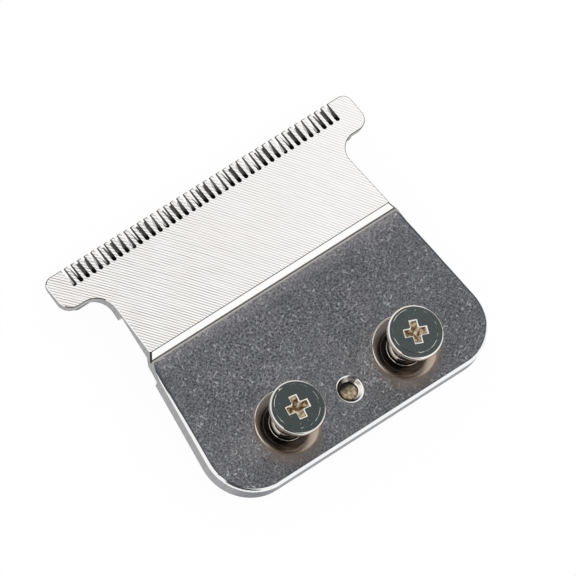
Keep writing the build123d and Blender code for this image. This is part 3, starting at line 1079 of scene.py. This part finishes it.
def captive_screw(centre, low_z, top_z, recess_turn):
    """A captive screw on the upright axis through the centre, with its cross recess turned about it."""
    mesh = bmesh.new()
    bmesh.ops.create_circle(mesh, cap_ends=True, segments=ring_segments, radius=head_flat_radius)
    bmesh.ops.translate(mesh, vec=(0, 0, top_z), verts=mesh.verts)
    arms = [Vector((cos(turn), sin(turn), 0)) for turn in (recess_turn, recess_turn + pi / 2)]
    for arm in arms:
        for reach in (-recess_span / 2, -recess_width / 2, recess_width / 2, recess_span / 2):
            everything = mesh.verts[:] + mesh.edges[:] + mesh.faces[:]
            bmesh.ops.bisect_plane(mesh, geom=everything, plane_co=arm * reach, plane_no=arm)
    rim = [edge for edge in mesh.edges if edge.is_boundary]

    # The cells of the cut top that lie in the cross sink down and draw in
    def in_cross(face):
        along, across = sorted(abs(face.calc_center_median().dot(arm)) for arm in arms)
        return along < recess_width / 2 and across < recess_span / 2

    cross = [face for face in mesh.faces if in_cross(face)]
    sunk = bmesh.ops.extrude_face_region(mesh, geom=cross)["geom"]
    bmesh.ops.delete(mesh, geom=cross, context="FACES")
    floor_verts = [item for item in sunk if isinstance(item, bmesh.types.BMVert)]
    bmesh.ops.translate(mesh, vec=(0, 0, -recess_depth), verts=floor_verts)
    bmesh.ops.scale(mesh, vec=(recess_floor_share, recess_floor_share, 1), verts=floor_verts)
    mesh.normal_update()
    for face in mesh.faces:
        sunken = face.calc_center_median().z < top_z - top_slack
        face.material_index = RECESS if sunken else NICKEL
    inner_corners = [
        edge
        for edge in edges_between(mesh, {RECESS})
        if edge.calc_face_angle_signed() > hollow_corner
        and abs(edge.verts[0].co.z - edge.verts[1].co.z) > recess_depth / 2
    ]
    round_over(mesh, inner_corners, recess_flute, RECESS_EDGE, segments=1)
    for face in mesh.faces:
        if face.material_index == RECESS_EDGE and face.normal.z > facing_up:
            on_top = face.calc_center_median().z > top_z - top_slack
            face.material_index = NICKEL if on_top else RECESS
    mouth = edges_between(mesh, {NICKEL, RECESS}, {NICKEL, RECESS_EDGE})
    round_over(mesh, mouth, recess_edge_width, RECESS_EDGE, segments=1)

    # Head edge with the turning tool's shallow shoulder, then underside, neck, flare, thread core and tip
    head_low_z = top_z - head_thickness
    shoulder_z = top_z - shoulder_drop
    shoulder = [
        (head_flat_radius + shoulder_run, top_z - head_step),
        (head_radius - head_round, shoulder_z),
    ]
    rounding = arc(head_radius - head_round, shoulder_z - head_round, head_round, start=84, stop=0, steps=7)
    under_z = head_low_z + head_under_round
    under = arc(head_radius - head_under_round, under_z, head_under_round, start=0, stop=-90, steps=5)
    flare_z = collar_z + flare_radius
    flare = arc(neck_radius + flare_radius, flare_z, flare_radius, start=180, stop=268, steps=8)
    collar_mid_z = collar_z - collar_round
    collar = arc(collar_radius - collar_round, collar_mid_z, collar_round, start=80, stop=-60, steps=7)
    profile = (
        shoulder
        + rounding
        + [(head_radius, under_z)]
        + under
        + [(neck_radius, head_low_z), (neck_radius, flare_z)]
        + flare
        + collar
        + [(root_radius, thread_top_z), (root_radius, low_z + tip_bevel)]
        + [(thread_radius - tip_bevel, low_z)]
    )
    tip = carry_ring(mesh, rim, head_flat_radius, profile)
    bmesh.ops.edgeloop_fill(mesh, edges=tip)
    bmesh.ops.recalc_face_normals(mesh, faces=mesh.faces)
    for face in mesh.faces:
        middle = face.calc_center_median()
        on_collar = middle.xy.length > collar_radius - collar_round and middle.z > collar_z - 2 * collar_round
        if middle.z < head_low_z and not on_collar:
            face.material_index = SHANK
        on_step = top_z - head_step < middle.z < top_z - step_top_drop
        if on_step and middle.xy.length > head_flat_radius:
            face.material_index = STEP

    # The turned step lies a little off the axis
    step_rings = [
        vert
        for vert in mesh.verts
        if vert.co.z > top_z - step_low_drop
        and step_inner_radius < vert.co.xy.length < step_outer_radius
    ]
    bmesh.ops.translate(mesh, vec=head_step_shift, verts=step_rings)

    first_z = low_z + tip_bevel + thread_half_height
    turns = (thread_top_z - thread_half_height - first_z) / thread_pitch
    add_helix(
        mesh,
        Vector((0, 0, 0)),
        root_radius - thread_sink,
        thread_radius,
        thread_half_height,
        first_z,
        thread_pitch,
        turns,
        SHANK,
    )
    for face in mesh.faces:
        if face.calc_center_median().z < plate_low.z:
            face.material_index = NICKEL
    bmesh.ops.translate(mesh, vec=(centre.x, centre.y, 0), verts=mesh.verts)
    return mesh


# Bright nickel: mirror-like, a little warm, with a few tiny pits that catch the light
pit_size = 0.3 * MM
tint_reach = 8 * MM
nickel, tree, surface = new_material("bright_nickel_plate")
coords = add(tree, "ShaderNodeTexCoord").outputs["Object"]
pits = add(tree, "ShaderNodeTexNoise", {"Vector": coords, "Scale": 1 / pit_size, "Detail": 1.0})
pitted = add(
    tree,
    "ShaderNodeMapRange",
    {"Value": pits.outputs["Fac"], "From Min": 0.72, "From Max": 0.8, "To Min": 0.07, "To Max": 0.6},
)
place = add(tree, "ShaderNodeSeparateXYZ", {"Vector": coords})
# The plating is a little darker on the left and lighter on the right
blend_ramp = add(
    tree,
    "ShaderNodeMapRange",
    {"Value": place.outputs["X"], "From Min": -tint_reach, "From Max": tint_reach},
)
tone = add(
    tree,
    "ShaderNodeMix",
    {"Factor": blend_ramp.outputs["Result"], MIX_A: linear("#e4e1da"), MIX_B: linear("#f4efe7")},
    data_type="RGBA",
)
shader = add(
    tree,
    "ShaderNodeBsdfPrincipled",
    {"Base Color": tone.outputs[MIXED], "Metallic": 1.0, "Roughness": pitted.outputs["Result"]},
)
tree.links.new(shader.outputs["BSDF"], surface)

# Shank and thread: the same plating, painted black at the rear and down by the collar as shade, and bright in
# front and above as a painted highlight
shank_front_y = seat_y - 0.45 * MM
shank_rear_y = seat_y - 1.25 * MM
lit_from_z = collar_z + 0.2 * MM
shank_metal, tree, surface = new_material("shaded_nickel_shank")
coords = add(tree, "ShaderNodeTexCoord").outputs["Object"]
place = add(tree, "ShaderNodeSeparateXYZ", {"Vector": coords})
# Painted highlight in front and above, painted shade behind and near the collar
bright_share = add(
    tree,
    "ShaderNodeMapRange",
    {"Value": place.outputs["Y"], "From Min": shank_rear_y, "From Max": shank_front_y},
)
risen = add(
    tree,
    "ShaderNodeMapRange",
    {"Value": place.outputs["Z"], "From Min": collar_z, "From Max": lit_from_z},
)
bright_share = add(
    tree,
    "ShaderNodeMath",
    {0: bright_share.outputs["Result"], 1: risen.outputs["Result"]},
    operation="MULTIPLY",
)
tone = add(
    tree,
    "ShaderNodeMix",
    {"Factor": bright_share.outputs["Value"], MIX_A: linear("#3d352c"), MIX_B: linear("#f3ece2")},
    data_type="RGBA",
)
shader = add(
    tree,
    "ShaderNodeBsdfPrincipled",
    {"Base Color": tone.outputs[MIXED], "Metallic": 1.0, "Roughness": 0.12},
)
tree.links.new(shader.outputs["BSDF"], surface)

# The turned step's bright line is a painted highlight that noise breaks up, so it comes and goes
line_break_size = 1.1 * MM
step_metal, tree, surface = new_material("broken_highlight_step")
coords = add(tree, "ShaderNodeTexCoord").outputs["Object"]
line_break = add(tree, "ShaderNodeTexNoise", {"Vector": coords, "Scale": 1 / line_break_size, "Detail": 1.0})
# Painted highlight: the step's bright line, broken into bright and dark lengths
kept = add(tree, "ShaderNodeMapRange", {"Value": line_break.outputs["Fac"], "From Min": 0.48, "From Max": 0.58})
tone = add(
    tree,
    "ShaderNodeMix",
    {"Factor": kept.outputs["Result"], MIX_A: linear("#4f5656"), MIX_B: linear("#f7efe2")},
    data_type="RGBA",
)
shader = add(
    tree,
    "ShaderNodeBsdfPrincipled",
    {"Base Color": tone.outputs[MIXED], "Metallic": 1.0, "Roughness": 0.15},
)
tree.links.new(shader.outputs["BSDF"], surface)

# Inside the recess the plating is thin, and the copper flash under it gives a golden brown
recess_stain_size = 0.4 * MM
recess_metal, tree, surface = new_material("thin_plated_recess")
coords = add(tree, "ShaderNodeTexCoord").outputs["Object"]
stain = add(tree, "ShaderNodeTexNoise", {"Vector": coords, "Scale": 1 / recess_stain_size, "Detail": 2.0})
patchy = add(tree, "ShaderNodeMapRange", {"Value": stain.outputs["Fac"], "From Min": 0.42, "From Max": 0.62})
tone = add(
    tree,
    "ShaderNodeMix",
    {"Factor": patchy.outputs["Result"], MIX_A: linear("#7a5a34"), MIX_B: linear("#fff2d6")},
    data_type="RGBA",
)
shader = add(
    tree,
    "ShaderNodeBsdfPrincipled",
    {"Base Color": tone.outputs[MIXED], "Metallic": 0.4, "Roughness": 0.45},
)
tree.links.new(shader.outputs["BSDF"], surface)

# The punch burnishes the recess's edge to a pale cream line, scuffed by screwdrivers
scuff_size = 0.25 * MM
edge_metal, tree, surface = new_material("burnished_recess_edge")
coords = add(tree, "ShaderNodeTexCoord").outputs["Object"]
scuff = add(tree, "ShaderNodeTexNoise", {"Vector": coords, "Scale": 1 / scuff_size, "Detail": 2.0})
tone = add(
    tree,
    "ShaderNodeMix",
    {"Factor": scuff.outputs["Fac"], MIX_A: linear("#f7f0e3"), MIX_B: linear("#fffefb")},
    data_type="RGBA",
)
gloss = add(tree, "ShaderNodeMapRange", {"Value": scuff.outputs["Fac"], "To Min": 0.42, "To Max": 0.58})
shader = add(
    tree,
    "ShaderNodeBsdfPrincipled",
    {"Base Color": tone.outputs[MIXED], "Metallic": 0.5, "Roughness": gloss.outputs["Result"]},
)
tree.links.new(shader.outputs["BSDF"], surface)

recess_turns = {"left": radians(-9), "right": radians(-21)}
for (side, recess_turn), centre in zip(recess_turns.items(), seat_centres):
    low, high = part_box(f"mounting_screw_{side}")
    screw = captive_screw(centre, low.z, high.z, recess_turn)
    finish_piece(
        screw,
        f"captive_screw_{side}",
        [nickel, recess_metal, edge_metal, shank_metal, step_metal],
        "plate_set",
        f"mounting_screw_{side}",
        smooth_angle=24,
    )

# Floor: a plain white sweep that the blade set lies on. It shows white to the camera and in reflections,
# and keeps a trace of the object's shadow. It lies off centre, to keep its diagonal clear of the object.
floor_half_width = 4.0
floor_place = (1.0, -0.5, -0.01 * MM)
glow_share = 0.5
seen_glow_share = 0.46
floor_data = bpy.data.meshes.new("white_sweep")
floor_mesh = bmesh.new()
bmesh.ops.create_grid(floor_mesh, x_segments=1, y_segments=1, size=floor_half_width)
bmesh.ops.translate(floor_mesh, verts=floor_mesh.verts, vec=floor_place)
floor_mesh.to_mesh(floor_data)
floor_mesh.free()
floor = bpy.data.objects.new("white_sweep", floor_data)
bpy.context.scene.collection.objects.link(floor)
white_paper, tree, surface = new_material("white_paper_sweep")
rays = add(tree, "ShaderNodeLightPath")
seen = add(
    tree,
    "ShaderNodeMath",
    {0: rays.outputs["Is Camera Ray"], 1: rays.outputs["Is Glossy Ray"]},
    operation="MAXIMUM",
)
seen = add(
    tree,
    "ShaderNodeMath",
    {0: seen.outputs["Value"], 1: rays.outputs["Is Transmission Ray"]},
    operation="MAXIMUM",
)
paper = add(tree, "ShaderNodeBsdfDiffuse", {"Color": linear("#ffffff")})
glow = add(tree, "ShaderNodeEmission", {"Color": linear("#ffffff"), "Strength": 1.0})
share = add(
    tree,
    "ShaderNodeMath",
    {0: seen.outputs["Value"], 1: seen_glow_share, 2: glow_share},
    operation="MULTIPLY_ADD",
)
sweep = add(
    tree,
    "ShaderNodeMixShader",
    {"Fac": share.outputs["Value"], 1: paper.outputs["BSDF"], 2: glow.outputs["Emission"]},
)
side_seen = add(tree, "ShaderNodeNewGeometry")
clear = add(tree, "ShaderNodeBsdfTransparent")
sweep = add(
    tree,
    "ShaderNodeMixShader",
    {"Fac": side_seen.outputs["Backfacing"], 1: sweep.outputs["Shader"], 2: clear.outputs["BSDF"]},
)
tree.links.new(sweep.outputs["Shader"], surface)
floor_data.materials.append(white_paper)

# Dark card: grey cloth hung overhead and some way down to the right, with a browner left end.
# Polished steel mirrors it as a dark band.
flag_radius = 3.0
flag_front = 1.1
flag_rear = -0.62
flag_low = radians(8)
flag_high = radians(105)
flag_brown_x = -0.4
flag_blue_x = 0.7
flag_data = bpy.data.meshes.new("dark_card")
flag_mesh = bmesh.new()
flag_low_x = flag_radius * cos(flag_low)
flag_low_z = flag_radius * sin(flag_low)
front = flag_mesh.verts.new((flag_low_x, flag_front, flag_low_z))
rear = flag_mesh.verts.new((flag_low_x, flag_rear, flag_low_z))
bar = flag_mesh.edges.new((front, rear))
bmesh.ops.spin(
    flag_mesh,
    geom=[front, rear, bar],
    cent=(0, 0, 0),
    axis=(0, -1, 0),
    angle=flag_high - flag_low,
    steps=24,
)

# A second length of it hangs behind the camera, and draws a dark hairline round the near rear corner
near_low = radians(16)
near_high = radians(80)
near_from = radians(203)
near_turn = radians(62)
near_ends = [
    flag_mesh.verts.new(
        (
            flag_radius * cos(height) * cos(near_from),
            flag_radius * cos(height) * sin(near_from),
            flag_radius * sin(height),
        )
    )
    for height in (near_low, near_high)
]
near_bar = flag_mesh.edges.new(near_ends)
bmesh.ops.spin(
    flag_mesh,
    geom=[*near_ends, near_bar],
    cent=(0, 0, 0),
    axis=(0, 0, 1),
    angle=near_turn,
    steps=16,
)
flag_mesh.to_mesh(flag_data)
flag_mesh.free()
flag = bpy.data.objects.new("dark_card", flag_data)
bpy.context.scene.collection.objects.link(flag)
flag.visible_camera = False
flag.visible_shadow = False
flag.visible_diffuse = False
grey_cloth, tree, surface = new_material("grey_studio_cloth")
coords = add(tree, "ShaderNodeTexCoord").outputs["Object"]
place = add(tree, "ShaderNodeSeparateXYZ", {"Vector": coords})
across = add(
    tree,
    "ShaderNodeMapRange",
    {"Value": place.outputs["X"], "From Min": flag_brown_x, "From Max": flag_blue_x},
)
tone = add(
    tree,
    "ShaderNodeMix",
    {"Factor": across.outputs["Result"], MIX_A: linear("#484443"), MIX_B: linear("#50575b")},
    data_type="RGBA",
)
shader = add(tree, "ShaderNodeBsdfDiffuse", {"Color": tone.outputs[MIXED]})
tree.links.new(shader.outputs["BSDF"], surface)
flag_data.materials.append(grey_cloth)

# White studio all round: even light from every side, as in a light tent.
# At a strength of 1 it shows as plain white.
world = bpy.data.worlds.new("white_studio")
bpy.context.scene.world = world
world.use_nodes = True
backdrop = world.node_tree.nodes["Background"]
backdrop.inputs["Color"].default_value = linear("#ffffff")
backdrop.inputs["Strength"].default_value = 1.0
bpy.context.scene.view_settings.view_transform = "Standard"

# Camera: far off with a long lens, as the photograph's nearly parallel edges show.
# Its turn and aim were fitted to the outline, the screws and the centre hole.
camera_azimuth = 201.87
camera_elevation = 65.31
camera_roll = 33.87
camera_distance = 1.25
camera_aim = Vector((0.9365, 1.1048, 5.5463)) * MM
view_width = 58.76 * MM
camera_data = bpy.data.cameras.new("camera")
camera_data.lens = camera_data.sensor_width * camera_distance / view_width
camera = bpy.data.objects.new("camera", camera_data)
turn = (
    Matrix.Rotation(radians(camera_azimuth + 90), 4, "Z")
    @ Matrix.Rotation(radians(90 - camera_elevation), 4, "X")
    @ Matrix.Rotation(radians(camera_roll), 4, "Z")
)
camera.matrix_world = Matrix.Translation(camera_aim + turn.col[2].xyz * camera_distance) @ turn
bpy.context.scene.collection.objects.link(camera)
bpy.context.scene.camera = camera
